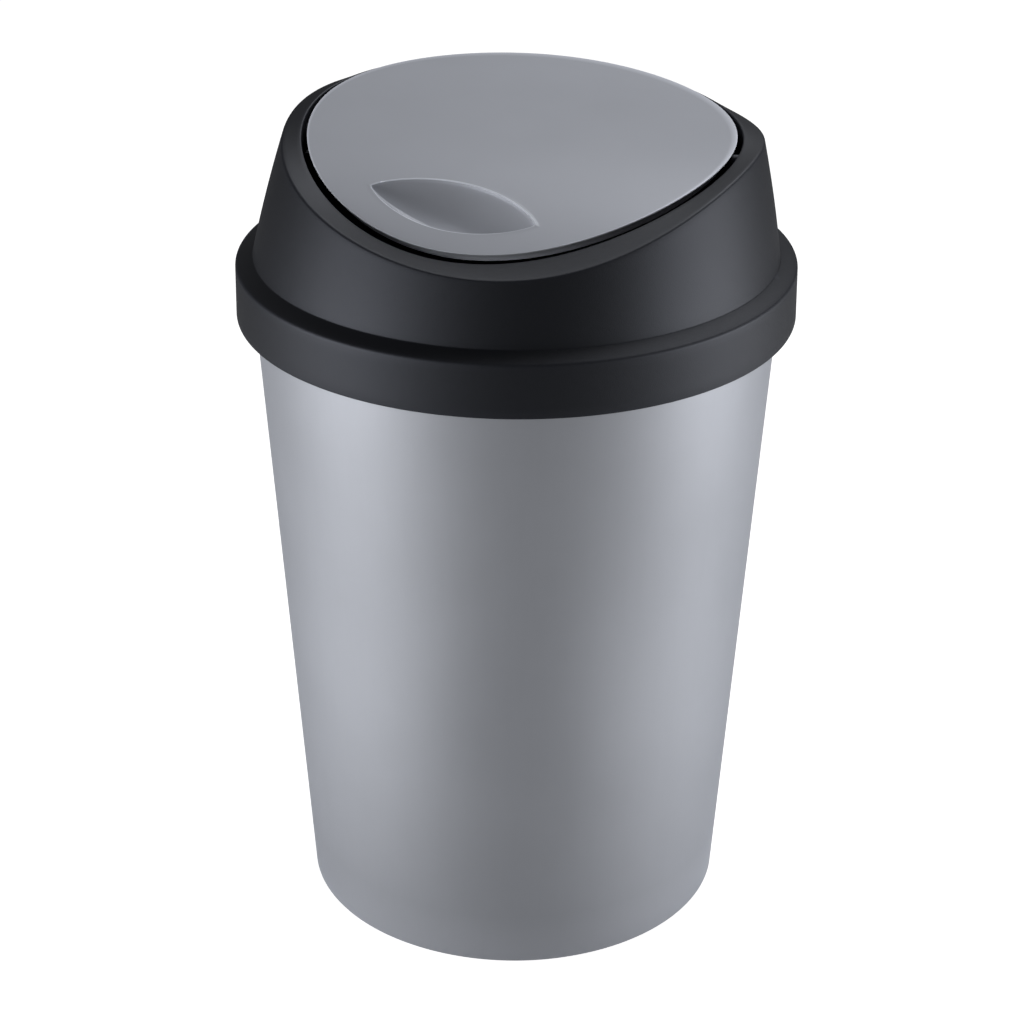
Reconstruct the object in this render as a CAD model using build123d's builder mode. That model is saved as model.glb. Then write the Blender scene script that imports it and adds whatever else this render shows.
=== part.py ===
"""Round swing-lid bin: a tapered tub, a lid collar that lifts off it, and a flap that swings in the collar.

Millimetres, +Z up, front towards -Y, origin under the middle of the foot ring.
"""
from math import radians, tan
import os

from build123d import *

os.makedirs("parts", exist_ok=True)

# Tub: its rim is its widest part, and the wall narrows from there to the foot
rim_height = 398.6
rim_radius = 157.0
rim_overhang = 5.9
rim_depth = 11.0
rim_thickness = 2.0
rim_round = 1.2
tub_draft = 3.89
tub_wall = 2.2
tub_floor = 2.6
foot_width = 7.0
foot_height = 4.0
foot_step = 3.4
foot_inset = 1.6
foot_round = 1.0

# Lid collar: skirt, shoulder and upper wall
seat_clearance = 0.3
skirt_gap = 0.8
skirt_wall = 2.2
skirt_height = 30.5
roof_thickness = 2.1
ridge_round = 1.6
shoulder_width = 10.4
shoulder_rise = 4.4
wall_lower_taper = 8.2
wall_upper_taper = 10.5
wall_step = 40.0
wall_set_back = 4.8
collar_wall = 2.4
rib_count = 12
rib_width = 2.0
rib_clearance = 0.3
rib_length = 20.0

# Flap
flap_inset = 21.2
flap_set_back = 5.8
flap_wall = 2.4
flap_rim_wall = 2.2
flap_rim_depth = 8.0
flap_gap = 3.1
flap_front_rise = 40.2
flap_middle_rise = 19.1
flap_pivot_line_rise = 28.3
flap_back_rise = 33.7

# Bezel band round the flap, its falls measured on a circle a little wider than the opening
bezel_width = 13.0
bezel_front_fall = 4.1
bezel_middle_fall = 2.1
bezel_side_fall = 5.0
bezel_back_fall = 3.6
bezel_lip_depth = 12.0
bezel_lip_wall = 2.4

# Finger scoop, turned about the lid's axis
scoop_length = 98.0
scoop_half_width = 18.5
scoop_depth = 10.5
scoop_side = -18.5
scoop_edge_distance = 35.2
scoop_turn = -10.0
scoop_wall = 2.2

# Pivot, below the line where the flap's face crosses the lid's axis
pivot_depth = 7.4
pin_radius = 2.5
pin_head_radius = 4.2
pin_head_length = 1.6
pin_press_clearance = 0.02
pin_running_clearance = 0.06
ear_radius = 5.0
ear_length = 12.0
boss_radius = 5.5
boss_inset = 1.2
pin_bite = 4.4
side_clearance = 0.5

# Stops
ledge_bearing = 1.5
ledge_thickness = 2.0
ledge_start = 45.0
stop_clearance = 0.3
flap_open_angle = 60.0
stop_reach = 13.4
stop_width = 7.0
stop_height = 8.0
stop_bearing = 2.7

# Blocks that cut the lid along its curved faces
block_margin = 26.0
block_samples = 8

# Radii worked out from the sizes above
skirt_radius = rim_radius + skirt_gap + skirt_wall
wall_base_radius = skirt_radius - shoulder_width
wall_middle_radius = wall_base_radius - wall_lower_taper
wall_top_radius = wall_middle_radius - wall_upper_taper
cavity_radius = wall_base_radius - collar_wall
flap_radius = wall_middle_radius - flap_inset
opening_radius = flap_radius + flap_gap
lip_radius = opening_radius + bezel_lip_wall
ledge_radius = flap_radius - ledge_bearing
stop_radius = flap_radius - flap_rim_wall - stop_bearing
bezel_radius = opening_radius + bezel_width

# Heights worked out from the sizes above
seat_height = rim_height + seat_clearance
ridge_height = seat_height + roof_thickness
skirt_bottom = ridge_height - skirt_height
shoulder_top = ridge_height + shoulder_rise
wall_top = shoulder_top + 2 * wall_step
opening_top = wall_top + wall_step
flap_front_height = shoulder_top + flap_front_rise
flap_middle_height = flap_front_height + flap_middle_rise
flap_pivot_line_height = flap_front_height + flap_pivot_line_rise
flap_back_height = flap_front_height + flap_back_rise
pivot_height = flap_pivot_line_height - pivot_depth

# Other places worked out from the sizes above
flap_front = flap_set_back - flap_radius
flap_back = flap_set_back + flap_radius
scoop_forward = -flap_front - scoop_edge_distance
block_reach = bezel_radius + block_margin
block_floor = rim_height - rim_depth


def cubic_height(y, stations):
    """Height at y on the cubic curve through four (y, height) stations."""
    total = 0.0
    for here, height in stations:
        share = 1.0
        for other, _ in stations:
            if other != here:
                share *= (y - other) / (here - other)
        total += share * height
    return total


def flap_height(y):
    """Height of the flap's top face, which is straight from side to side."""
    return cubic_height(
        y,
        [
            (flap_front, flap_front_height),
            (flap_front / 2, flap_middle_height),
            (0.0, flap_pivot_line_height),
            (flap_back, flap_back_height),
        ],
    )


def bezel_circle_height(y):
    """Height of the bezel band on the circle one bezel width outside the opening."""
    return cubic_height(
        y,
        [
            (flap_set_back - bezel_radius, flap_front_height - bezel_front_fall),
            (flap_set_back - bezel_radius / 2, flap_middle_height - bezel_middle_fall),
            (flap_set_back, flap_pivot_line_height - bezel_side_fall),
            (flap_set_back + bezel_radius, flap_back_height - bezel_back_fall),
        ],
    )


def bezel_height(x, y):
    """Height of the bezel: the flap's height at the opening, falling away outwards."""
    distance = x**2 + (y - flap_set_back) ** 2
    share = (distance - opening_radius**2) / (bezel_radius**2 - opening_radius**2)
    return flap_height(y) + share * (bezel_circle_height(y) - flap_height(y))


def spaced(low, high, count):
    """The count + 1 evenly spaced numbers from low to high."""
    return [low + (high - low) * step / count for step in range(count + 1)]


def height_line(height, reach):
    """Points (y, height) from front to back for a curve across the lid."""
    return [(y, height(y)) for y in spaced(-reach, reach, block_samples)]


def block_under_flap_face(drop):
    """Block below the flap's top face, lowered by drop, straight from side to side."""
    line = [(y, height - drop) for y, height in height_line(flap_height, block_reach)]
    with BuildPart() as block:
        with BuildSketch(Plane.YZ):
            with BuildLine():
                Spline(line)
                Polyline(line[-1], (block_reach, block_floor), (-block_reach, block_floor), line[0])
            make_face()
        extrude(amount=block_reach, both=True)
    return block.part


def block_under_bezel(drop):
    """Block below the bezel's face, lowered by drop, lofted through sections from left to right."""
    with BuildPart() as block:
        for x in spaced(-block_reach, block_reach, block_samples):
            line = [(y, bezel_height(x, y) - drop) for y in spaced(-block_reach, block_reach, block_samples)]
            with BuildSketch(Plane.YZ.offset(x)):
                with BuildLine():
                    Spline(line)
                    Polyline(line[-1], (block_reach, block_floor), (-block_reach, block_floor), line[0])
                make_face()
        loft()
    return block.part


def upper_wall(inset):
    """Body of the collar's upper wall: circles that narrow and step back as they rise."""
    radii = [wall_base_radius, wall_middle_radius, wall_top_radius]
    with BuildPart() as wall:
        for step, radius in enumerate(radii):
            with BuildSketch(Plane.XY.offset(shoulder_top + step * wall_step)):
                with Locations((0, step * wall_set_back)):
                    Circle(radius - inset)
        loft()
    return wall.part


def dome(inset):
    """The upper wall's body, cut off along the bezel's face, both moved inwards by inset."""
    with BuildPart() as body:
        add(upper_wall(inset))
        add(block_under_bezel(inset), mode=Mode.INTERSECT)
    return body.part


def column(radius, bottom, top):
    """Solid column about the opening's axis."""
    with BuildPart() as solid:
        with BuildSketch(Plane.XY.offset(bottom)):
            with Locations((0, flap_set_back)):
                Circle(radius)
        extrude(amount=top - bottom)
    return solid.part


def ring(inner_radius, outer_radius, bottom, top):
    """Ring about the opening's axis."""
    with BuildPart() as band:
        add(column(outer_radius, bottom, top))
        add(column(inner_radius, bottom, top), mode=Mode.SUBTRACT)
    return band.part


def side_rod(radius, start, end, side):
    """Rod along the pivot axis from x = start to x = end, on the left (-1) or right (+1)."""
    with BuildPart() as rod:
        with BuildSketch(Plane.YZ.offset(side * start)):
            with Locations((0, pivot_height)):
                Circle(radius)
        extrude(amount=side * (end - start))
    return rod.part


def scoop_body(growth):
    """Spindle that hollows the finger scoop, larger by growth all round."""
    with BuildPart() as spindle:
        with BuildSketch():
            with BuildLine():
                half = scoop_length / 2 + growth
                ThreePointArc((-half, 0), (0, scoop_half_width + growth), (half, 0))
                Line((half, 0), (-half, 0))
            make_face()
        revolve(axis=Axis.X)
        scale(by=(1, 1, (scoop_depth + growth) / (scoop_half_width + growth)))
    return spindle.part


def scoop_plane():
    """Plane on the flap's face at the scoop, its X axis along the scoop."""
    along = Vector(1, 0, 0).rotate(Axis.Z, scoop_turn)
    half = scoop_length / 2
    ends = []
    for way in (-half, half):
        y = -scoop_forward + way * along.Y
        ends.append(Vector(scoop_side + way * along.X, y, flap_height(y)))
    step = flap_wall
    front_height = flap_height(-scoop_forward - step)
    slope = Vector(0, 2 * step, flap_height(-scoop_forward + step) - front_height)
    chord = ends[1] - ends[0]
    middle = Vector(scoop_side, -scoop_forward, flap_height(-scoop_forward))
    return Plane(origin=middle, x_dir=chord, z_dir=chord.cross(slope))


# Tub: foot ring under a small step, raised floor, tapered wall and a rolled-over rim
tub_slope = tan(radians(tub_draft))


def tub_radius(height):
    """Outer radius of the tub's wall."""
    return rim_radius - rim_overhang - tub_slope * (rim_height - height)


with BuildPart() as bin_body:
    with BuildSketch(Plane.XZ):
        with BuildLine():
            inner_floor = foot_height + tub_floor
            foot_radius = tub_radius(foot_step) - foot_inset
            neck = tub_radius(rim_height) - tub_wall
            Polyline(
                (0, foot_height),
                (foot_radius - foot_width, foot_height),
                (foot_radius - foot_width, 0),
                (foot_radius, 0),
                (foot_radius, foot_step),
                (tub_radius(foot_step), foot_step),
                (tub_radius(rim_height - rim_thickness), rim_height - rim_thickness),
                (rim_radius - rim_thickness, rim_height - rim_thickness),
                (rim_radius - rim_thickness, rim_height - rim_depth),
                (rim_radius, rim_height - rim_depth),
                (rim_radius, rim_height),
                (neck, rim_height),
                (tub_radius(inner_floor) - tub_wall, inner_floor),
                (0, inner_floor),
                close=True,
            )
        make_face()
    revolve(axis=Axis.Z)
    foot_edge = bin_body.edges().filter_by(GeomType.CIRCLE).group_by(Axis.Z)[0].sort_by(SortBy.RADIUS)[-1]
    fillet(foot_edge, foot_round)
    rim_edge = bin_body.edges().filter_by(GeomType.CIRCLE).group_by(Axis.Z)[-1].sort_by(SortBy.RADIUS)[-1]
    fillet(rim_edge, rim_round)
bin_body.part.label = "bin_body"

# Lid collar
lip_band = ring(opening_radius, lip_radius, block_floor, opening_top)
ledge_band = ring(ledge_radius, lip_radius, block_floor, opening_top)
stop_point = Vector(0, -stop_reach, flap_height(-stop_reach) - flap_rim_depth - pivot_height)
stop_point = stop_point.rotate(Axis.X, flap_open_angle)
stop_face = stop_point.Y + stop_clearance
stop_level = pivot_height + stop_point.Z

bezel_face = block_under_bezel(0)
lip_bottom = block_under_bezel(bezel_lip_depth)
ledge_top = block_under_flap_face(flap_rim_depth + stop_clearance)
ledge_bottom = block_under_flap_face(flap_rim_depth + stop_clearance + ledge_thickness)
boss_rods = [
    side_rod(boss_radius, flap_radius + side_clearance, wall_middle_radius, side) for side in (-1, 1)
]
boss_limit = dome(boss_inset)

with BuildPart() as lid_lip:
    add(lip_band)
    add(bezel_face, mode=Mode.INTERSECT)
    add(lip_bottom, mode=Mode.SUBTRACT)

with BuildPart() as rest_ledge:
    add(ledge_band)
    add(ledge_top, mode=Mode.INTERSECT)
    add(ledge_bottom, mode=Mode.SUBTRACT)
    split(bisect_by=Plane.XZ.offset(-ledge_start), keep=Keep.BOTTOM)

with BuildPart() as pivot_bosses:
    add(boss_rods)
    add(boss_limit, mode=Mode.INTERSECT)

tab_bottom = stop_level - stop_height
tab_strip = ring(opening_radius, lip_radius, tab_bottom, pivot_height)
tab_nub = ring(stop_radius, lip_radius, tab_bottom, stop_level)

with BuildPart() as stop_tabs:
    add(tab_strip)
    add(tab_nub)
    with BuildSketch(Plane.XY.offset(tab_bottom)):
        with Locations((0, stop_face + stop_width / 2)):
            Rectangle(2 * bezel_radius, stop_width)
    extrude(amount=pivot_height - tab_bottom, mode=Mode.INTERSECT)

dome_body = dome(0)
dome_hollow = dome(collar_wall)
opening_cut = column(opening_radius, shoulder_top, opening_top)
pin_bores = [
    side_rod(pin_radius + pin_press_clearance, flap_radius, lip_radius + pin_bite, side) for side in (-1, 1)
]

with BuildPart() as lid_collar:
    with BuildSketch(Plane.XZ):
        with BuildLine():
            Polyline(
                (skirt_radius, skirt_bottom),
                (skirt_radius, ridge_height),
                (wall_base_radius, shoulder_top),
                (cavity_radius, shoulder_top),
                (cavity_radius, seat_height),
                (skirt_radius - skirt_wall, seat_height),
                (skirt_radius - skirt_wall, skirt_bottom),
                close=True,
            )
        make_face()
    revolve(axis=Axis.Z)
    ridge_edge = lid_collar.edges().filter_by(GeomType.CIRCLE).filter_by(
        lambda edge: abs(edge.center().Z - ridge_height) < seat_clearance
    )
    fillet(ridge_edge, ridge_round)
    add(dome_body)
    add(dome_hollow, mode=Mode.SUBTRACT)
    add(opening_cut, mode=Mode.SUBTRACT)
    add(lid_lip.part)
    add(rest_ledge.part)
    add(pivot_bosses.part)
    add(stop_tabs.part)
    add(pin_bores, mode=Mode.SUBTRACT)
    rib_inner = rim_radius + rib_clearance
    rib_outer = skirt_radius - skirt_wall / 2
    with BuildSketch(Plane.XY.offset(seat_height - rib_length)):
        with PolarLocations((rib_inner + rib_outer) / 2, rib_count):
            Rectangle(rib_outer - rib_inner, rib_width)
    extrude(amount=rib_length)
lid_collar.part.label = "lid_collar"

# Flap
ear_bores = [side_rod(pin_radius + pin_running_clearance, 0, opening_radius, side) for side in (-1, 1)]
ear_end = flap_radius - flap_rim_wall / 2
ear_start = ear_end - ear_length

flap_disc = column(flap_radius, block_floor, opening_top)
flap_core = column(flap_radius - flap_rim_wall, block_floor, opening_top)
flap_under = block_under_flap_face(flap_rim_depth)
under_skin = block_under_flap_face(flap_wall)
mid_skin = block_under_flap_face(flap_wall / 2)
flap_face_block = block_under_flap_face(0)
scoop_place = scoop_plane().location
scoop_outside = scoop_body(scoop_wall)
scoop_inside = scoop_body(0)
ears = [side_rod(ear_radius, ear_start, ear_end, side) for side in (-1, 1)]

with BuildPart() as flap_hollow:
    add(flap_core)
    add(under_skin, mode=Mode.INTERSECT)

with BuildPart() as scoop_shell:
    with Locations(scoop_place):
        add(scoop_outside)
    add(mid_skin, mode=Mode.INTERSECT)

with BuildPart() as swing_flap:
    add(flap_disc)
    add(flap_face_block, mode=Mode.INTERSECT)
    add(flap_hollow.part, mode=Mode.SUBTRACT)
    add(flap_under, mode=Mode.SUBTRACT)
    add(scoop_shell.part)
    add(ears)
    add(ear_bores, mode=Mode.SUBTRACT)
    with Locations(scoop_place):
        add(scoop_inside, mode=Mode.SUBTRACT)
swing_flap.part.label = "swing_flap"

# Pivot pins, headed at the inner end
pin_tip = lip_radius + pin_bite
head_face = ear_start - side_clearance
pins = {}
for name, side in {"pivot_pin_left": -1, "pivot_pin_right": 1}.items():
    shank = side_rod(pin_radius, head_face, pin_tip, side)
    head = side_rod(pin_head_radius, head_face - pin_head_length, head_face, side)
    with BuildPart() as pivot_pin:
        add(shank)
        add(head)
    pivot_pin.part.label = name
    pins[name] = pivot_pin.part

export_step(bin_body.part, "parts/bin_body.step")
export_step(lid_collar.part, "parts/lid_collar.step")
export_step(swing_flap.part, "parts/swing_flap.step")
for name, pin in pins.items():
    export_step(pin, f"parts/{name}.step")
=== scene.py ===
"""Round swing-lid bin, dressed for a studio picture around its fixed frame of nodes."""
import logging
import math
from dataclasses import dataclass, field
from enum import Enum
from typing import Callable, Iterable

import bmesh
import bpy
from mathutils import Matrix, Vector


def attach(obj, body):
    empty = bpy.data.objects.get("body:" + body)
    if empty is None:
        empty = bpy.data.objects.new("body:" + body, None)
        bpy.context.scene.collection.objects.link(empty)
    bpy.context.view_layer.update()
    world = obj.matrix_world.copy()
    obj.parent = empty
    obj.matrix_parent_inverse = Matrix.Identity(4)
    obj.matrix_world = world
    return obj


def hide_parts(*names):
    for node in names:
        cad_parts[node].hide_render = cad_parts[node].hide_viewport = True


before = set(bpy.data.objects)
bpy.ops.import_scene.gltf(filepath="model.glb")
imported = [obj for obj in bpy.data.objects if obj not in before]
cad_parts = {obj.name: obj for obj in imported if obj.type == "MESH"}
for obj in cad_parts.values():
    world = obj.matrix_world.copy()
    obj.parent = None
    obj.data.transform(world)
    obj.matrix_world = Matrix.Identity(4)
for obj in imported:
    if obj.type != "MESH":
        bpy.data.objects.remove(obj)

LOG = logging.getLogger("bin")
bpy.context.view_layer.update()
MM = 0.001
TURN = 2 * math.pi
MERGE_DISTANCE = 1e-6

Colour = tuple[float, float, float]
Section = Callable[[float], list["Corner"]]
Material = bpy.types.Material
Piece = bpy.types.Object
Shell = bmesh.types.BMesh
Socket = bpy.types.NodeSocket


class Body(Enum):
    """The rigid bodies that pieces ride on."""

    BIN = "bin"
    LID = "lid"
    FLAP = "flap"


class Slot(Enum):
    """The record's material slots, passed with each new piece."""

    SILVER = "silver_plastic"
    BLACK = "black_plastic"
    FLAP = "flap_plastic"


# Geometry helpers


@dataclass(frozen=True)
class Corner:
    """A point of a section, rounded off where it has a radius."""

    point: Vector
    radius: float = 0.0


def scaled(corners: Iterable[Corner]) -> list[Corner]:
    """Corners in metres from corners in millimetres."""
    return [Corner(corner.point * MM, corner.radius * MM) for corner in corners]


def between(start: Vector, end: Vector, count: int) -> list[Corner]:
    """Divide a straight stretch with plain corners.

    Args:
        start: One end of the stretch.
        end: The other end.
        count: Spans to divide it into.

    Returns:
        The corners, without the stretch's two ends.
    """
    return [Corner(start.lerp(end, step / count)) for step in range(1, count)]


def rounded(corners: list[Corner], steps: int = 5) -> list[Vector]:
    """Turn a section's corners into points, with an arc at each rounded corner.

    Args:
        corners: The corners in order; the first and last are never rounded.
        steps: Spans of each arc.

    Returns:
        The points along the section.
    """
    points = []
    for place, corner in enumerate(corners):
        if corner.radius == 0 or place in (0, len(corners) - 1):
            points.append(corner.point)
            continue
        back = (corners[place - 1].point - corner.point).normalized()
        ahead = (corners[place + 1].point - corner.point).normalized()
        half = back.angle(ahead) / 2
        centre = corner.point + (back + ahead).normalized() * (corner.radius / math.sin(half))
        reach = corner.radius / math.tan(half)
        first = corner.point + back * reach - centre
        last = corner.point + ahead * reach - centre
        length = first.length
        points.extend(
            centre + first.slerp(last, step / steps) * length for step in range(steps + 1)
        )
    return points


def bend_grid(shell: Shell, columns: list[list[Vector]], spans: int) -> None:
    """Add a flat grid to a mesh, bend it through columns of points and fill its open edges.

    Args:
        shell: The mesh that the grid is added to.
        columns: The points of each column: as many columns as spans for a ring, else one more.
        spans: Spans across the grid.
    """
    rows = len(columns[0])
    grid = bmesh.ops.create_grid(shell, x_segments=spans, y_segments=rows - 1, size=0.5)["verts"]
    for vert in grid:
        column = round((vert.co.x + 0.5) * spans) % len(columns)
        row = round((vert.co.y + 0.5) * (rows - 1))
        vert.co = columns[column][row]
    bmesh.ops.remove_doubles(shell, verts=grid, dist=MERGE_DISTANCE)
    boundary = [edge for edge in shell.edges if edge.is_boundary]
    bmesh.ops.holes_fill(shell, edges=boundary, sides=0)


def finish_mesh(name: str, shell: Shell, smooth: bool = True) -> Piece:
    """Merge doubles, point the faces outwards, and put the mesh in the scene as a piece.

    Args:
        name: The piece's name.
        shell: The mesh, which is freed.
        smooth: Whether its faces are shaded smooth.

    Returns:
        The new piece.
    """
    bmesh.ops.remove_doubles(shell, verts=shell.verts, dist=MERGE_DISTANCE)
    bmesh.ops.recalc_face_normals(shell, faces=shell.faces)
    mesh = bpy.data.meshes.new(name)
    shell.to_mesh(mesh)
    shell.free()
    if smooth:
        mesh.shade_smooth()
    piece = bpy.data.objects.new(name, mesh)
    bpy.context.collection.objects.link(piece)
    return piece


def wrapped(name: str, section: Section, around: int, arc_steps: int = 5) -> Piece:
    """Bend a flat grid into a closed shell whose section changes with the angle.

    Args:
        name: The piece's name.
        section: Gives the section's corners at an angle, in metres.
        around: Spans round the vertical axis.
        arc_steps: Spans of each rounded corner.

    Returns:
        The new piece, with its faces pointing outwards.
    """
    columns = [rounded(section(TURN * step / around), arc_steps) for step in range(around)]
    shell = bmesh.new()
    bend_grid(shell, columns, around)
    return finish_mesh(name, shell)


def bend_block(shell: Shell, section: Section, start: float, end: float, spans: int) -> None:
    """Bend a closed section through part of a turn, and close both ends.

    Args:
        shell: The mesh that the block is added to.
        section: Gives the section's corners at an angle, in metres; the last is the first again.
        start: Angle of the first end.
        end: Angle of the other end.
        spans: Spans from end to end.
    """
    angles = [start + (end - start) * step / spans for step in range(spans + 1)]
    bend_grid(shell, [rounded(section(angle)) for angle in angles], spans)


@dataclass(frozen=True)
class BoredRod:
    """A rod with a bore in its start, in millimetres.

    The bore goes right through where its depth is the rod's length or more.
    """

    outer: float
    bore: float
    depth: float
    start: Vector
    end: Vector
    edge_round: float = 0.4
    around: int = 40
    arc_steps: int = 3

    def section(self, angle: float) -> list[Corner]:
        """Corners from the bore's bottom out round the rod to its other end.

        Args:
            angle: Angle about the rod, which lies along X.

        Returns:
            The corners, in metres.
        """
        ray = Vector((0.0, math.cos(angle), math.sin(angle)))
        length = (self.end - self.start).length
        stop = self.start.lerp(self.end, min(self.depth / length, 1.0))
        inside = [stop + ray * self.bore, self.start + ray * self.bore]
        outside = [self.start + ray * self.outer, self.end + ray * self.outer]
        if self.depth >= length:
            points = [*inside, *outside, inside[0]]
        else:
            points = [stop, *inside, *outside, self.end]
        return scaled(
            Corner(point, self.edge_round if point in outside else 0.0) for point in points
        )

    def build(self, name: str) -> Piece:
        """Turn the rod as a piece with the name."""
        return wrapped(name, self.section, self.around, self.arc_steps)


# The lid's shape


@dataclass(frozen=True)
class LidForm:
    """The shape that the collar and the flap share, in millimetres."""

    centre: tuple[float, float] = (1.65, 5.8)
    flap_radius: float = 120.2
    gap: float = 3.1
    face_rise: tuple[float, ...] = (475.17, 11.24, -12.91, 7.07)
    face_twist: tuple[float, ...] = (-2.8, -5.04, 2.61)
    proud_front: float = 2.3
    proud_side: float = 0.9
    proud_back: float = 2.4
    edge_height: float = 463.09
    edge_waves: tuple[tuple[float, float], ...] = (
        (-2.62, 11.51),
        (9.58, -1.82),
        (0.77, -2.86),
        (0.57, -1.2),
    )
    shoulder_top: float = 405.4
    wall_radii: tuple[float, float, float] = (149.6, 141.4, 130.9)
    wall_step: float = 40.0
    wall_shift: tuple[float, float] = (1.07, 4.95)

    @property
    def opening_radius(self) -> float:
        """Radius of the hole that the flap closes."""
        return self.flap_radius + self.gap

    def flap_height(self, x: float, y: float) -> float:
        """Height of the flap's face: a cubic from front to back, with a slight sideways twist."""
        across = x / self.flap_radius
        along = (y - self.centre[1]) / self.flap_radius
        rise = sum(part * along**power for power, part in enumerate(self.face_rise))
        twist = sum(part * along**power for power, part in enumerate(self.face_twist))
        return rise + across * twist

    def wall_point(self, angle: float, height: float, inset: float = 0.0) -> Vector:
        """Find a point of the upper wall: circles that narrow and step back as they rise.

        Args:
            angle: Angle round the wall's own middle.
            height: Height of the point.
            inset: How far it is moved inwards.

        Returns:
            The point.
        """
        rise = (height - self.shoulder_top) / self.wall_step
        base, middle, top = self.wall_radii
        narrowing = rise * (middle - base) + rise * (rise - 1) / 2 * (top - 2 * middle + base)
        radius = base + narrowing - inset
        x, y = rise * self.wall_shift[0], rise * self.wall_shift[1]
        return Vector((x + radius * math.cos(angle), y + radius * math.sin(angle), height))

    def wall_top(self, angle: float, inset: float = 0.0) -> Vector:
        """Point where the upper wall meets the bezel band, both moved inwards by inset."""
        height = self.edge_height - inset
        for turn, (along, across) in enumerate(self.edge_waves, 1):
            height += along * math.cos(turn * angle) + across * math.sin(turn * angle)
        return self.wall_point(angle, height, inset)

    def around_flap(self, angle: float, growth: float = 0.0) -> Vector:
        """Plan point on the flap's outline, moved outwards by growth."""
        radius = self.flap_radius + growth
        x, y = self.centre
        return Vector((x + radius * math.cos(angle), y + radius * math.sin(angle)))

    def opening_point(self, angle: float, growth: float = 0.0, drop: float = 0.0) -> Vector:
        """Find a point of the opening's edge, which stands a little below the flap's face.

        Args:
            angle: Angle round the opening.
            growth: How far the point is moved outwards.
            drop: How far it is moved down.

        Returns:
            The point.
        """
        x, y = self.around_flap(angle, self.gap + growth)
        end = self.proud_back if math.sin(angle) > 0 else self.proud_front
        proud = self.proud_side + (end - self.proud_side) * math.sin(angle) ** 2
        return Vector((x, y, self.flap_height(x, y) - proud - drop))


LID = LidForm()


# Shader helpers

# Places of the colour sockets on a Mix node, which share their names with its other sockets
COLOUR_A, COLOUR_B, COLOUR_RESULT = 6, 7, 2
NOISE_MIDDLE = 0.5
DRAW_STRETCH = (260.0, 260.0, 6.0)
TONE_CONTRAST = 1.6
# Pointiness where the painted highlight on an outer edge starts, and how fast it grows
HIGHLIGHT_START = 0.505
HIGHLIGHT_GAIN = 40.0


def new_group(
    name: str, inputs: dict[str, tuple[str, float]], outputs: dict[str, str]
) -> bpy.types.NodeTree:
    """Make an empty shader group with named sockets.

    Args:
        name: The group's name.
        inputs: Socket type and default by name.
        outputs: Socket type by name.

    Returns:
        The group, holding its input and output nodes.
    """
    group = bpy.data.node_groups.new(name, "ShaderNodeTree")
    for label, (kind, default) in inputs.items():
        socket = group.interface.new_socket(name=label, in_out="INPUT", socket_type=kind)
        if kind == "NodeSocketFloat":
            socket.default_value = default
    for label, kind in outputs.items():
        group.interface.new_socket(name=label, in_out="OUTPUT", socket_type=kind)
    group.nodes.new("NodeGroupInput").name = "In"
    group.nodes.new("NodeGroupOutput").name = "Out"
    return group


@dataclass
class Nodes:
    """Short hand for adding nodes to a tree and joining them."""

    tree: bpy.types.NodeTree

    def add(self, kind: str, **values: object) -> bpy.types.Node:
        """Add a node and set its properties."""
        node = self.tree.nodes.new(kind)
        for key, value in values.items():
            setattr(node, key, value)
        return node

    def join(self, start: Socket, end: Socket) -> None:
        """Link two sockets."""
        self.tree.links.new(start, end)

    def put(self, value: object, socket: Socket) -> None:
        """Link a socket to another, or set a constant on it."""
        if isinstance(value, Socket):
            self.join(value, socket)
        else:
            socket.default_value = value

    def noise(self, vector: Socket, scale: float | Socket, detail: float) -> Socket:
        """Add a noise texture on a vector and give back its value."""
        node = self.add("ShaderNodeTexNoise")
        self.join(vector, node.inputs["Vector"])
        self.put(scale, node.inputs["Scale"])
        self.put(detail, node.inputs["Detail"])
        return node.outputs["Fac"]

    def math(self, operation: str, first: float | Socket, second: float | Socket) -> Socket:
        """Add a Math node on two sockets or numbers and give back its value."""
        node = self.add("ShaderNodeMath", operation=operation)
        self.put(first, node.inputs[0])
        self.put(second, node.inputs[1])
        return node.outputs[0]

    def mix(self, factor: Socket, first: tuple | Socket, second: tuple | Socket) -> Socket:
        """Add a Mix node on two colours, sockets or RGBA constants, and give back its colour."""
        node = self.add("ShaderNodeMix", data_type="RGBA")
        self.join(factor, node.inputs["Factor"])
        self.put(first, node.inputs[COLOUR_A])
        self.put(second, node.inputs[COLOUR_B])
        return node.outputs[COLOUR_RESULT]


def moulded_skin_group() -> bpy.types.NodeTree:
    """Make the moulded skin's group: fine grain, slow flow mottling and faint draw marks."""
    group = new_group(
        "moulded_skin",
        {
            "Vector": ("NodeSocketVector", 0.0),
            "Grain Scale": ("NodeSocketFloat", 2500.0),
            "Mottle Scale": ("NodeSocketFloat", 14.0),
            "Draw Marks": ("NodeSocketFloat", 0.3),
        },
        {"Grain": "NodeSocketFloat", "Mottle": "NodeSocketFloat", "Marks": "NodeSocketFloat"},
    )
    nodes = Nodes(group)
    entry, leave = group.nodes["In"], group.nodes["Out"]
    vector = entry.outputs["Vector"]
    grain = nodes.noise(vector, entry.outputs["Grain Scale"], 3.0)
    mottle = nodes.noise(vector, entry.outputs["Mottle Scale"], 4.0)
    stretch = nodes.add("ShaderNodeMapping")
    stretch.inputs["Scale"].default_value = DRAW_STRETCH
    nodes.join(vector, stretch.inputs["Vector"])
    marks = nodes.math("SUBTRACT", nodes.noise(stretch.outputs["Vector"], 1.0, 2.0), NOISE_MIDDLE)
    nodes.join(grain, leave.inputs["Grain"])
    nodes.join(mottle, leave.inputs["Mottle"])
    nodes.join(nodes.math("MULTIPLY", marks, entry.outputs["Draw Marks"]), leave.inputs["Marks"])
    return group


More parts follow.
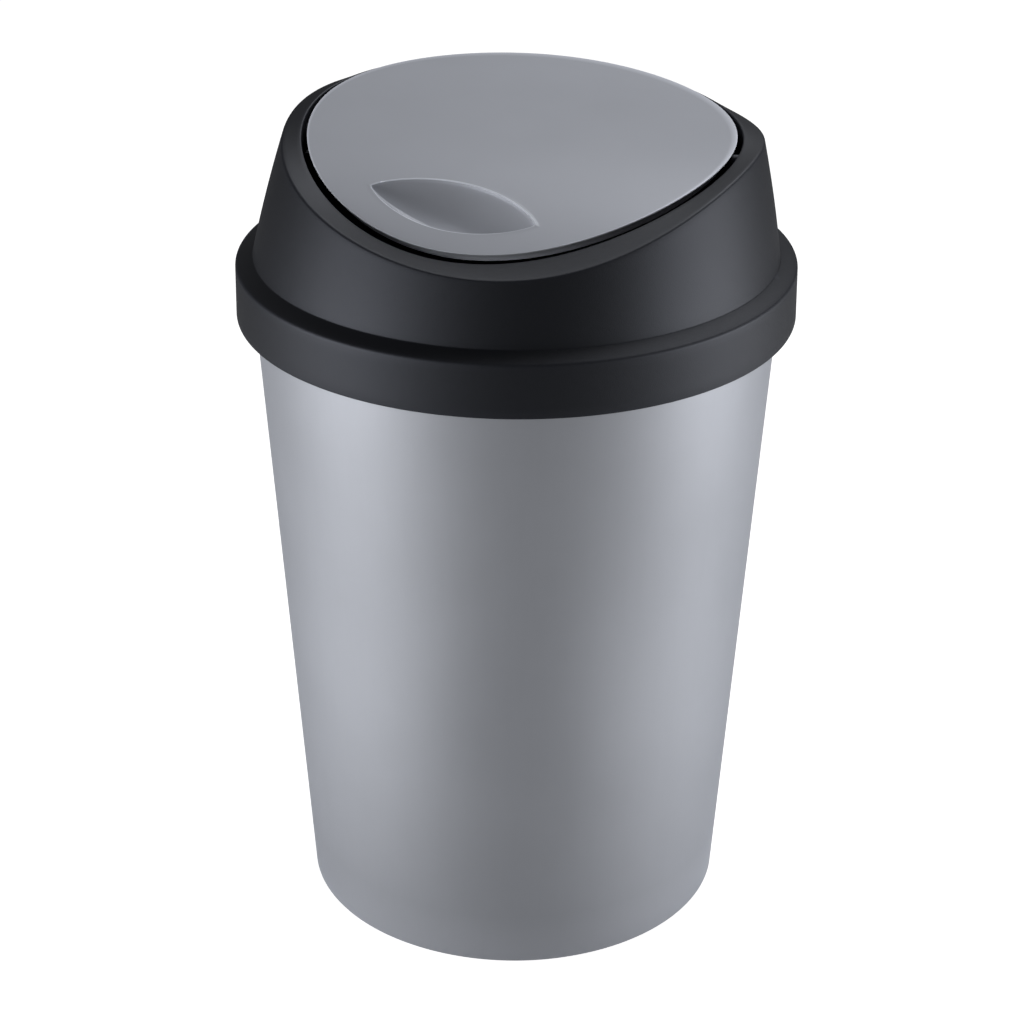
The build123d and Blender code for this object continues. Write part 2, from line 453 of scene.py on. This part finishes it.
@dataclass(frozen=True)
class Plastic:
    """A moulded finish: plain plastic, plastic with metal flake, or metal.

    The gleam tints its highlights, a painted highlight lightens the colour of its sharp outer
    edges, and the grain's depth is in metres.
    """

    name: str
    colour: Colour
    tone_spread: float
    roughness: float
    roughness_spread: float
    metallic: float
    specular: float
    grain_scale: float
    grain_depth: float
    draw_marks: float
    gleam: Colour = (1.0, 1.0, 1.0)
    # Painted highlight: how much lighter the colour is made on sharp outer edges
    painted_edge_highlight: float = 0.0

    def toned(self, change: float) -> tuple[float, ...]:
        """The colour as RGBA, brighter by a share of itself, or darker where it is negative."""
        return (*[part * (1 + change) for part in self.colour], 1.0)

    def painted_highlight_mask(self, nodes: Nodes) -> Socket:
        """Add nodes that give 1 on sharp outer edges and 0 elsewhere: the mask of the painted
        highlight.
        """
        bend = nodes.add("ShaderNodeNewGeometry").outputs["Pointiness"]
        highlight_ramp = nodes.math("MULTIPLY", nodes.math("SUBTRACT", bend, HIGHLIGHT_START), HIGHLIGHT_GAIN)
        return nodes.math("MINIMUM", nodes.math("MAXIMUM", highlight_ramp, 0.0), 1.0)

    def build(self, skin: bpy.types.NodeTree) -> Material:
        """Make the material.

        Args:
            skin: The shared moulded-skin group.

        Returns:
            The material.
        """
        material = bpy.data.materials.new(self.name)
        material.use_nodes = True
        nodes = Nodes(material.node_tree)
        shader = material.node_tree.nodes["Principled BSDF"]
        shader.inputs["Metallic"].default_value = self.metallic
        shader.inputs["Specular IOR Level"].default_value = self.specular
        shader.inputs["Specular Tint"].default_value = (*self.gleam, 1.0)

        place = nodes.add("ShaderNodeTexCoord")
        group = nodes.add("ShaderNodeGroup", node_tree=skin)
        nodes.join(place.outputs["Object"], group.inputs["Vector"])
        group.inputs["Grain Scale"].default_value = self.grain_scale
        group.inputs["Draw Marks"].default_value = self.draw_marks

        mottle = nodes.math("SUBTRACT", group.outputs["Mottle"], NOISE_MIDDLE)
        varied = nodes.math("ADD", mottle, group.outputs["Marks"])
        share = nodes.math("ADD", nodes.math("MULTIPLY", varied, TONE_CONTRAST), 0.5)
        tone = nodes.mix(share, self.toned(-self.tone_spread), self.toned(self.tone_spread))
        # Painted highlight: the colour is lightened on sharp outer edges
        colour = nodes.mix(self.painted_highlight_mask(nodes), tone, self.toned(self.painted_edge_highlight))
        nodes.join(colour, shader.inputs["Base Color"])
        spread = nodes.math("MULTIPLY", varied, self.roughness_spread)
        nodes.join(nodes.math("ADD", spread, self.roughness), shader.inputs["Roughness"])

        bump = nodes.add("ShaderNodeBump")
        bump.inputs["Strength"].default_value = 1.0
        bump.inputs["Distance"].default_value = self.grain_depth
        nodes.join(group.outputs["Grain"], bump.inputs["Height"])
        nodes.join(bump.outputs["Normal"], shader.inputs["Normal"])
        return material


COOL = (0.86, 0.91, 1.06)
SILVER = Plastic(
    name="silver_shell",
    colour=(0.425, 0.44, 0.48),
    tone_spread=0.03,
    roughness=0.51,
    roughness_spread=0.05,
    metallic=0.65,
    specular=0.5,
    grain_scale=2600.0,
    grain_depth=0.00002,
    draw_marks=0.25,
    gleam=COOL,
    # Painted highlight on sharp outer edges
    painted_edge_highlight=0.5,
)
BLACK = Plastic(
    name="black_shell",
    colour=(0.0020, 0.0022, 0.0031),
    tone_spread=0.08,
    roughness=0.56,
    roughness_spread=0.06,
    metallic=0.0,
    specular=0.5,
    grain_scale=1800.0,
    grain_depth=0.00005,
    draw_marks=0.10,
    gleam=COOL,
    # Painted highlight on sharp outer edges, such as the shoulder ridge
    painted_edge_highlight=3.0,
)
GREY = Plastic(
    name="flap_shell",
    colour=(0.485, 0.505, 0.56),
    tone_spread=0.03,
    roughness=0.42,
    roughness_spread=0.05,
    metallic=0.05,
    specular=0.3,
    grain_scale=2600.0,
    grain_depth=0.00002,
    draw_marks=0.0,
    gleam=COOL,
    # Painted highlight on sharp outer edges, such as the flap's edge
    painted_edge_highlight=1.2,
)
STEEL = Plastic(
    name="pin_steel",
    colour=(0.62, 0.62, 0.63),
    tone_spread=0.05,
    roughness=0.30,
    roughness_spread=0.08,
    metallic=1.0,
    specular=0.5,
    grain_scale=900.0,
    grain_depth=0.00002,
    draw_marks=0.0,
)


# The bin's pieces


def add_piece(piece: Piece, body: Body, slot: Slot, material: Material, *nodes: str) -> None:
    """Dress a piece, put it on its body and hide the frame's nodes that it replaces.

    Args:
        piece: The new piece.
        body: The body that it rides on.
        slot: The record's slot for its finish; not used.
        material: Its material.
        nodes: The frame's nodes that it replaces.
    """
    piece.data.materials.clear()
    piece.data.materials.append(material)
    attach(piece, body.value)
    if nodes:
        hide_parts(*nodes)
    LOG.info("%s: %d faces on %s", piece.name, len(piece.data.polygons), body.value)


@dataclass
class Tub:
    """The tapered tub with its foot, raised floor and rolled rim, in millimetres."""

    material: Material
    foot_radius: float = 124.3
    draft: float = math.radians(3.89)
    wall: float = 2.2
    foot_inset: float = 2.2
    foot_step: float = 1.7
    foot_width: float = 8.4
    foot_height: float = 4.0
    floor: float = 2.6
    floor_round: float = 6.0
    rim_height: float = 398.6
    rim_radius: float = 157.0
    rim_depth: float = 11.0
    rim_thickness: float = 2.0
    edge_round: float = 0.9
    neck_round: float = 2.0
    groove_round: float = 1.2
    rim_round: float = 1.8
    wall_steps: int = 12
    around: int = 192

    def radius(self, height: float) -> float:
        """Outer radius of the wall."""
        return self.foot_radius + math.tan(self.draft) * height

    def section(self, angle: float) -> list[Corner]:
        """Find the section's corners, from the middle underneath to the middle of the floor.

        Args:
            angle: Angle round the tub.

        Returns:
            The corners, in metres.
        """
        turn = Matrix.Rotation(angle, 3, "Z")

        def at(radius: float, height: float) -> Vector:
            """Point in metres at a radius and height."""
            return turn @ Vector((radius, 0.0, height)) * MM

        inside = self.foot_height + self.floor
        rim_low = self.rim_height - self.rim_depth
        under_rim = self.rim_height - self.rim_thickness
        foot_inner = self.foot_radius - self.foot_width
        edge = self.edge_round * MM
        low = at(self.radius(self.foot_step), self.foot_step)
        high = at(self.radius(under_rim), under_rim)
        inner_low = at(self.radius(inside) - self.wall, inside)
        inner_high = at(self.radius(self.rim_height) - self.wall, self.rim_height)
        return [
            Corner(at(0.0, self.foot_height)),
            Corner(at(self.foot_radius / 2, self.foot_height)),
            Corner(at(foot_inner, self.foot_height), edge),
            Corner(at(foot_inner, 0.0), edge),
            Corner(at(self.foot_radius - self.foot_inset, 0.0), edge / 2),
            Corner(at(self.foot_radius - self.foot_inset / 2, self.foot_step), edge / 4),
            Corner(low, edge / 3),
            *between(low, high, self.wall_steps),
            Corner(high, self.neck_round * MM),
            Corner(at(self.rim_radius - self.rim_thickness, under_rim), self.groove_round * MM),
            Corner(at(self.rim_radius - self.rim_thickness, rim_low), edge),
            Corner(at(self.rim_radius, rim_low), edge),
            Corner(at(self.rim_radius, self.rim_height), self.rim_round * MM),
            Corner(inner_high, self.rim_round * MM),
            *between(inner_high, inner_low, self.wall_steps),
            Corner(inner_low, self.floor_round * MM),
            Corner(at(self.foot_radius / 2, inside)),
            Corner(at(0.0, inside)),
        ]

    def build(self) -> None:
        """Make the tub and put it on the bin's body."""
        piece = wrapped("tub_shell", self.section, self.around)
        add_piece(piece, Body.BIN, Slot.SILVER, self.material, "bin_body")


@dataclass
class Collar:
    """The lid's collar: skirt, shoulder, oblique wall, bezel band and lip, in millimetres."""

    material: Material
    form: LidForm = LID
    skirt_radius: float = 160.0
    skirt_bottom: float = 370.5
    skirt_wall: float = 2.2
    skirt_draft: float = 0.4
    seam_rise: float = 4.0
    ridge_height: float = 401.0
    seat_height: float = 398.9
    wall: float = 2.4
    lip_depth: float = 12.0
    skirt_round: float = 0.7
    ridge_round: float = 2.2
    base_round: float = 1.0
    bezel_round: float = 1.6
    opening_round: float = 0.9
    hidden_round: float = 0.5
    inner_round: float = 0.8
    skirt_steps: int = 5
    shoulder_steps: int = 3
    wall_steps: int = 12
    bezel_steps: int = 4
    inner_steps: int = 6
    around: int = 256

    def up_wall(
        self, angle: float, ends: tuple[float, float], count: int, inset: float
    ) -> list[Corner]:
        """Divide the upper wall between two heights.

        Args:
            angle: Angle round the wall.
            ends: The two heights.
            count: Spans to divide it into.
            inset: How far the corners are moved inwards.

        Returns:
            Plain corners that follow the wall, without its two ends.
        """
        start, end = ends
        return [
            Corner(self.form.wall_point(angle, start + (end - start) * step / count, inset))
            for step in range(1, count)
        ]

    def section(self, angle: float) -> list[Corner]:
        """Find the closed section's corners, starting above the skirt's inner bottom edge.

        Args:
            angle: Angle round the collar.

        Returns:
            The corners, in metres.
        """
        form = self.form
        ray = Vector((math.cos(angle), math.sin(angle), 0.0))

        def at(radius: float, height: float) -> Vector:
            """Point at a radius and height."""
            return ray * radius + Vector((0.0, 0.0, height))

        inner = self.skirt_radius - self.skirt_wall
        start = Corner(at(inner, self.skirt_bottom + self.seam_rise))
        skirt_low = at(self.skirt_radius, self.skirt_bottom)
        ridge = at(self.skirt_radius - self.skirt_draft, self.ridge_height)
        base = form.wall_point(angle, form.shoulder_top)
        top = form.wall_top(angle)
        inner_base = form.wall_point(angle, form.shoulder_top, self.wall)
        inner_top = form.wall_top(angle, self.wall)
        edge = form.opening_point(angle)
        return scaled([
            start,
            Corner(at(inner, self.skirt_bottom), self.hidden_round),
            Corner(skirt_low, self.skirt_round),
            *between(skirt_low, ridge, self.skirt_steps),
            Corner(ridge, self.ridge_round),
            *between(ridge, base, self.shoulder_steps),
            Corner(base, self.base_round),
            *self.up_wall(angle, (base.z, top.z), self.wall_steps, 0.0),
            Corner(top, self.bezel_round),
            *between(top, edge, self.bezel_steps),
            Corner(edge, self.opening_round),
            Corner(form.opening_point(angle, 0.0, self.lip_depth), self.hidden_round),
            Corner(form.opening_point(angle, self.wall, self.lip_depth), self.hidden_round),
            Corner(form.opening_point(angle, self.wall, self.wall), self.inner_round),
            Corner(inner_top, self.inner_round),
            *self.up_wall(angle, (inner_top.z, inner_base.z), self.inner_steps, self.wall),
            Corner(inner_base),
            Corner(at(inner_base.to_2d().length, self.seat_height), self.hidden_round),
            Corner(at(inner, self.seat_height), self.hidden_round),
            start,
        ])

    def build(self) -> None:
        """Make the collar and put it on the lid's body."""
        piece = wrapped("collar_shell", self.section, self.around)
        add_piece(piece, Body.LID, Slot.BLACK, self.material, "lid_collar")


@dataclass
class Flap:
    """The flap: a crowned disc with a rim and the leaf-shaped finger scoop, in millimetres.

    The bead round the scoop is drawn by its profile, in shares of its width and height.
    """

    material: Material
    form: LidForm = LID
    skin: float = 2.4
    rim_wall: float = 2.2
    rim_inset: float = 5.0
    rim_depth: float = 8.0
    edge_depth: float = 0.9
    edge_round: float = 0.4
    undercut_depth: float = 0.6
    rim_round: float = 0.5
    inner_round: float = 0.8
    scoop_half: float = 49.0
    scoop_width: float = 18.0
    tip_sharpness: float = 0.82
    scoop_depth: float = 12.0
    scoop_steepness: float = 0.7
    scoop_bottom: float = 0.2
    scoop_first_step: int = 3
    scoop_steps: int = 16
    scoop_centre: Vector = field(default_factory=lambda: Vector((-18.5, -80.3)))
    scoop_turn: float = math.radians(-13.8)
    deepest: Vector = field(default_factory=lambda: Vector((0.0, -5.0)))
    lip_round: float = 0.4
    lip_share: float = 0.9
    bead_height: float = 0.7
    bead_width: float = 1.6
    bead_profile: tuple[tuple[float, float], ...] = (
        (0.4, 1.0),
        (0.8, 0.85),
        (1.3, 0.4),
        (1.9, 0.05),
    )
    bead_end: float = 2.2
    face_steps: int = 28
    face_crowding: float = 1.2
    under_steps: int = 12
    around: int = 240
    arc_steps: int = 4

    def on_face(self, place: Vector, drop: float = 0.0) -> Vector:
        """Point of the flap's face above a plan point, moved down by drop."""
        return Vector((place.x, place.y, self.form.flap_height(place.x, place.y) - drop))

    def leaf(self, angle: float, grow: float = 0.0) -> Vector:
        """Plan point of the leaf outline, grown outwards, in the leaf's own axes."""
        half, width = self.scoop_half + grow, self.scoop_width + grow
        along = half * math.cos(angle)
        across = width * max(1 - math.cos(angle) ** 2, 0.0) ** self.tip_sharpness
        return Vector((along, math.copysign(across, math.sin(angle))))

    def to_flap(self, place: Vector) -> Vector:
        """Plan point on the flap from one in the leaf's own axes."""
        return self.scoop_centre + Matrix.Rotation(self.scoop_turn, 2) @ place

    def section(self, angle: float) -> list[Corner]:
        """Find the corners from the scoop's bottom over the face and rim and back underneath.

        Args:
            angle: Angle round the leaf outline, in the leaf's own axes.

        Returns:
            The corners, in metres.
        """
        rim_angle = angle + self.scoop_turn

        def ring(share: float, drop: float = 0.0) -> Corner:
            """Corner on the scoop's bowl, at a share of the way from its bottom to its outline."""
            place = self.leaf(angle) * share + self.deepest * (1 - share)
            depth = self.scoop_depth * (1 - share**2) ** self.scoop_steepness
            return Corner(self.on_face(self.to_flap(place), depth + drop))

        def by_leaf(width: float, height: float) -> Vector:
            """Point of the face at a distance outside the leaf outline, raised by a height."""
            return self.on_face(self.to_flap(self.leaf(angle, width)), -height)

        shares = [
            self.scoop_bottom,
            *[
                math.sin(step / self.scoop_steps * math.pi / 2)
                for step in range(self.scoop_first_step, self.scoop_steps)
            ],
        ]
        bead_height = self.bead_height * (1 + math.sin(angle)) / 2
        bead = [
            Corner(by_leaf(self.bead_width * share, bead_height * height))
            for share, height in self.bead_profile
        ]
        insets = (0.0, self.rim_inset, self.rim_inset + self.rim_wall)
        edge, rim, inner_rim = [self.form.around_flap(rim_angle, -inset) for inset in insets]
        outer_lip = self.to_flap(self.leaf(angle, self.bead_width * self.bead_end))
        under_lip = self.to_flap(self.leaf(angle, self.skin))
        ways = [(step / self.face_steps) ** self.face_crowding for step in range(self.face_steps)]
        face = [Corner(self.on_face(outer_lip.lerp(edge, way))) for way in ways]
        under_face = [
            Corner(self.on_face(inner_rim.lerp(under_lip, step / self.under_steps), self.skin))
            for step in range(1, self.under_steps)
        ]
        return scaled([
            *[ring(share) for share in shares],
            Corner(by_leaf(0.0, bead_height * self.lip_share), self.lip_round),
            *bead,
            *face,
            Corner(self.on_face(edge), self.edge_round),
            Corner(self.on_face(edge, self.edge_depth), self.rim_round),
            Corner(self.on_face(rim, self.edge_depth + self.undercut_depth), self.rim_round),
            Corner(self.on_face(rim, self.rim_depth), self.rim_round),
            Corner(self.on_face(inner_rim, self.rim_depth), self.rim_round),
            Corner(self.on_face(inner_rim, self.skin), self.inner_round),
            *under_face,
            Corner(self.on_face(under_lip, self.skin)),
            *[ring(share, self.skin) for share in reversed(shares)],
        ])

    def build(self) -> None:
        """Make the flap and put it on its body."""
        piece = wrapped("flap_shell", self.section, self.around, self.arc_steps)
        add_piece(piece, Body.FLAP, Slot.FLAP, self.material, "swing_flap")


@dataclass
class LidFittings:
    """What the lid carries out of sight, in millimetres.

    That is the centring ribs, the rest ledge, the stop tabs, and the bosses and ears of the pivots.
    """

    black: Material
    grey: Material
    form: LidForm = LID
    ribs: int = 12
    rib_radii: tuple[float, float] = (157.3, 158.9)
    rib_levels: tuple[float, float] = (378.9, 398.9)
    rib_width: float = 2.0
    ledge_bearing: float = 6.7
    ledge_drop: float = 8.3
    ledge_thickness: float = 2.0
    ledge_reach: float = math.radians(19.0)
    ledge_spans: int = 64
    tab_bearing: float = 9.9
    tab_places: tuple[float, float] = (-4.2, 2.8)
    tab_levels: tuple[float, float] = (445.6, 453.6)
    tab_spans: int = 4
    lip_wall: float = 2.4
    pivot_height: float = 466.5
    pin_radius: float = 2.5
    pin_clearance: float = 0.1
    ear_radius: float = 4.8
    ear_ends: tuple[float, float] = (107.1, 114.2)
    boss_radius: float = 3.4
    boss_ends: tuple[float, float] = (116.4, 133.6)
    boss_bore: float = 11.0

    def strip(self, inner: Vector, outer: Vector, low: float, high: float) -> list[Corner]:
        """Make a closed section between two plan points and two heights.

        Args:
            inner: The plan point nearer the middle.
            outer: The plan point further out.
            low: Height of its bottom.
            high: Height of its top.

        Returns:
            The corners, in metres.
        """
        corners = [(inner, low), (outer, low), (outer, high), (inner, high), (inner, low)]
        return scaled(Corner(Vector((place.x, place.y, height))) for place, height in corners)

    def lip_middle(self, angle: float) -> Vector:
        """Plan point in the middle of the collar's downturned lip."""
        return self.form.around_flap(angle, self.form.gap + self.lip_wall / 2)

    def centring_ribs(self) -> Piece:
        """Make the upright ribs inside the skirt that centre it on the tub's rim."""
        shell = bmesh.new()

        def section(angle: float) -> list[Corner]:
            """Corners of a rib."""
            ray = Vector((math.cos(angle), math.sin(angle)))
            return self.strip(ray * self.rib_radii[0], ray * self.rib_radii[1], *self.rib_levels)

        half = self.rib_width / 2 / self.rib_radii[0]
        for rib in range(self.ribs):
            middle = TURN * rib / self.ribs
            bend_block(shell, section, middle - half, middle + half, 1)
        return finish_mesh("centring_ribs", shell, smooth=False)

    def rest_ledge(self) -> Piece:
        """Make the ledge under the flap's rim at the back, which holds the flap level."""
        shell = bmesh.new()

        def section(angle: float) -> list[Corner]:
            """Corners of the ledge, which follows the flap's edge."""
            inner = self.form.around_flap(angle, -self.ledge_bearing)
            top = self.form.flap_height(*self.form.around_flap(angle)) - self.ledge_drop
            return self.strip(inner, self.lip_middle(angle), top - self.ledge_thickness, top)

        bend_block(shell, section, self.ledge_reach, math.pi - self.ledge_reach, self.ledge_spans)
        return finish_mesh("rest_ledge", shell, smooth=False)

    def stop_tabs(self) -> Piece:
        """Make the tabs at both sides of the opening that the open flap comes to rest against."""
        shell = bmesh.new()

        def section(angle: float) -> list[Corner]:
            """Corners of a tab."""
            inner = self.form.around_flap(angle, -self.tab_bearing)
            return self.strip(inner, self.lip_middle(angle), *self.tab_levels)

        first, last = [
            math.asin((place - self.form.centre[1]) / self.form.opening_radius)
            for place in self.tab_places
        ]
        bend_block(shell, section, first, last, self.tab_spans)
        bend_block(shell, section, math.pi - last, math.pi - first, self.tab_spans)
        return finish_mesh("stop_tabs", shell, smooth=False)

    def pivot_rod(
        self, side: int, ends: tuple[float, float], radius: float, depth: float
    ) -> BoredRod:
        """Place a bored rod on the pivot line.

        Args:
            side: -1 for the left and 1 for the right.
            ends: Its ends' distances from the flap's middle.
            radius: Radius of the rod.
            depth: Depth of its bore for the pin.

        Returns:
            The rod.
        """
        middle = self.form.centre[0]
        start, end = [Vector((middle + side * reach, 0.0, self.pivot_height)) for reach in ends]
        return BoredRod(radius, self.pin_radius + self.pin_clearance, depth, start, end)

    def build(self) -> None:
        """Make every fitting and put it on its body."""
        for piece in (self.centring_ribs(), self.rest_ledge(), self.stop_tabs()):
            add_piece(piece, Body.LID, Slot.BLACK, self.black, "lid_collar")
        for name, side in (("left", -1), ("right", 1)):
            boss = self.pivot_rod(side, self.boss_ends, self.boss_radius, self.boss_bore)
            piece = boss.build(f"pivot_boss_{name}")
            add_piece(piece, Body.LID, Slot.BLACK, self.black, "lid_collar")
            # Both ears start equally far from the bin's axis, beside the heads of the pins
            ear_ends = (self.ear_ends[0] - side * self.form.centre[0], self.ear_ends[1])
            ear = self.pivot_rod(side, ear_ends, self.ear_radius, math.inf)
            piece = ear.build(f"pivot_ear_{name}")
            add_piece(piece, Body.FLAP, Slot.FLAP, self.grey, "swing_flap")


def dress_pins(material: Material) -> None:
    """Give the frame's two pivot pins their steel finish."""
    for name in ("pivot_pin_left", "pivot_pin_right"):
        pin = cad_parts[name]
        pin.data.materials.clear()
        pin.data.materials.append(material)
        LOG.info("%s: dressed", name)


# Studio


def flat_material(name: str, colour: Colour, roughness: float) -> Material:
    """Plain matt material for something that isn't part of the bin."""
    material = bpy.data.materials.new(name)
    material.use_nodes = True
    shader = material.node_tree.nodes["Principled BSDF"]
    shader.inputs["Base Color"].default_value = (*colour, 1.0)
    shader.inputs["Roughness"].default_value = roughness
    shader.inputs["Specular IOR Level"].default_value = 0.0
    return material


@dataclass(frozen=True)
class SoftBox:
    """A rectangular lamp that faces the bin.

    It has its turn round the bin from the camera in degrees, its height, its distance, its
    size, its power in watts and the height on the bin's axis that it aims at.
    """

    name: str
    turn: float
    height: float
    away: float
    size: tuple[float, float]
    power: float
    aim_height: float


@dataclass
class Studio:
    """Floor, lamps, world and camera, in metres."""

    camera_turn: float = math.radians(12.0)
    camera_distance: float = 1.462
    camera_height: float = 0.964
    camera_pitch: float = math.radians(26.43)
    camera_roll: float = math.radians(0.3)
    focal: float = 96.3
    sensor: float = 36.0
    shift: float = -0.0031
    floor_radius: float = 8.0
    floor_segments: int = 64
    floor_colour: Colour = (0.42, 0.42, 0.42)
    floor_roughness: float = 0.9
    floor_glow: float = 0.93
    ambient: float = 0.08
    gloss: float = 0.04
    boxes: tuple[SoftBox, ...] = (
        SoftBox("left_box", -66.0, 0.34, 1.2, (0.9, 0.66), 12.0, 0.2),
        SoftBox("left_low", -64.0, 0.03, 0.34, (0.50, 0.06), 0.11, 0.03),
        SoftBox("right_box", 80.0, 0.34, 1.2, (0.8, 0.66), 11.0, 0.2),
        SoftBox("right_low", 66.0, 0.03, 0.34, (0.50, 0.06), 0.11, 0.03),
        SoftBox("top_box", 150.0, 1.9, 1.0, (1.1, 0.8), 17.5, 0.45),
    )

    def camera(self) -> None:
        """Place the camera at the photograph's viewing angle."""
        data = bpy.data.cameras.new("view")
        data.lens = self.focal
        data.sensor_width = self.sensor
        data.shift_x = self.shift
        camera = bpy.data.objects.new("view", data)
        bpy.context.collection.objects.link(camera)
        place = Vector((0.0, -self.camera_distance, self.camera_height))
        camera.matrix_world = (
            Matrix.Rotation(self.camera_turn, 4, "Z")
            @ Matrix.Translation(place)
            @ Matrix.Rotation(math.pi / 2 - self.camera_pitch, 4, "X")
            @ Matrix.Rotation(self.camera_roll, 4, "Z")
        )
        bpy.context.scene.camera = camera

    def seen(self, nodes: Nodes, rest: float) -> Socket:
        """Add nodes that give a strength by kind of ray.

        Args:
            nodes: Where the nodes are added.
            rest: Strength for the rays that carry light.

        Returns:
            The strength: full to the camera and through glass, and dim in gloss.
        """
        path = nodes.add("ShaderNodeLightPath")
        camera, through = path.outputs["Is Camera Ray"], path.outputs["Is Transmission Ray"]
        white = nodes.math("MAXIMUM", camera, through)
        gloss = nodes.math("MULTIPLY", path.outputs["Is Glossy Ray"], self.gloss)
        return nodes.math("MAXIMUM", nodes.math("MAXIMUM", white, gloss), rest)

    def floor(self) -> None:
        """Lay the pale floor, which shows white and keeps the bin's shadow."""
        disc = bmesh.new()
        radius, segments = self.floor_radius, self.floor_segments
        bmesh.ops.create_circle(disc, cap_ends=True, radius=radius, segments=segments)
        floor = finish_mesh("floor", disc)
        material = flat_material("pale_floor", self.floor_colour, self.floor_roughness)
        nodes = Nodes(material.node_tree)
        shader = material.node_tree.nodes["Principled BSDF"]
        shader.inputs["Emission Color"].default_value = (1.0, 1.0, 1.0, 1.0)
        glow = nodes.math("MULTIPLY", self.seen(nodes, 0.0), self.floor_glow)
        nodes.join(glow, shader.inputs["Emission Strength"])
        floor.data.materials.append(material)

    def world(self) -> None:
        """Give the world a white background and a soft, even ambient light."""
        world = bpy.data.worlds.new("studio")
        world.use_nodes = True
        bpy.context.scene.world = world
        nodes = Nodes(world.node_tree)
        back = world.node_tree.nodes["Background"]
        back.inputs["Color"].default_value = (1.0, 1.0, 1.0, 1.0)
        nodes.join(self.seen(nodes, self.ambient), back.inputs["Strength"])

    def hang(self, box: SoftBox) -> None:
        """Hang a soft box that faces the bin."""
        data = bpy.data.lights.new(box.name, "AREA")
        data.shape = "RECTANGLE"
        data.size, data.size_y = box.size
        data.energy = box.power
        lamp = bpy.data.objects.new(box.name, data)
        bpy.context.collection.objects.link(lamp)
        angle = self.camera_turn + math.radians(box.turn)
        place = Vector((box.away * math.sin(angle), -box.away * math.cos(angle), box.height))
        aim = Vector((0.0, 0.0, box.aim_height)) - place
        lamp.location = place
        lamp.rotation_euler = aim.to_track_quat("-Z", "Y").to_euler()

    def build(self) -> None:
        """Build the whole studio."""
        self.floor()
        self.world()
        self.camera()
        for box in self.boxes:
            self.hang(box)
        bpy.context.scene.view_settings.view_transform = "Standard"


def main() -> None:
    """Build the bin and its studio."""
    logging.basicConfig(level=logging.INFO, format="%(message)s")
    skin = moulded_skin_group()
    silver, black, grey, steel = [finish.build(skin) for finish in (SILVER, BLACK, GREY, STEEL)]
    Tub(silver).build()
    Collar(black).build()
    Flap(grey).build()
    LidFittings(black, grey).build()
    dress_pins(steel)
    Studio().build()


if __name__ == "__main__":
    main()
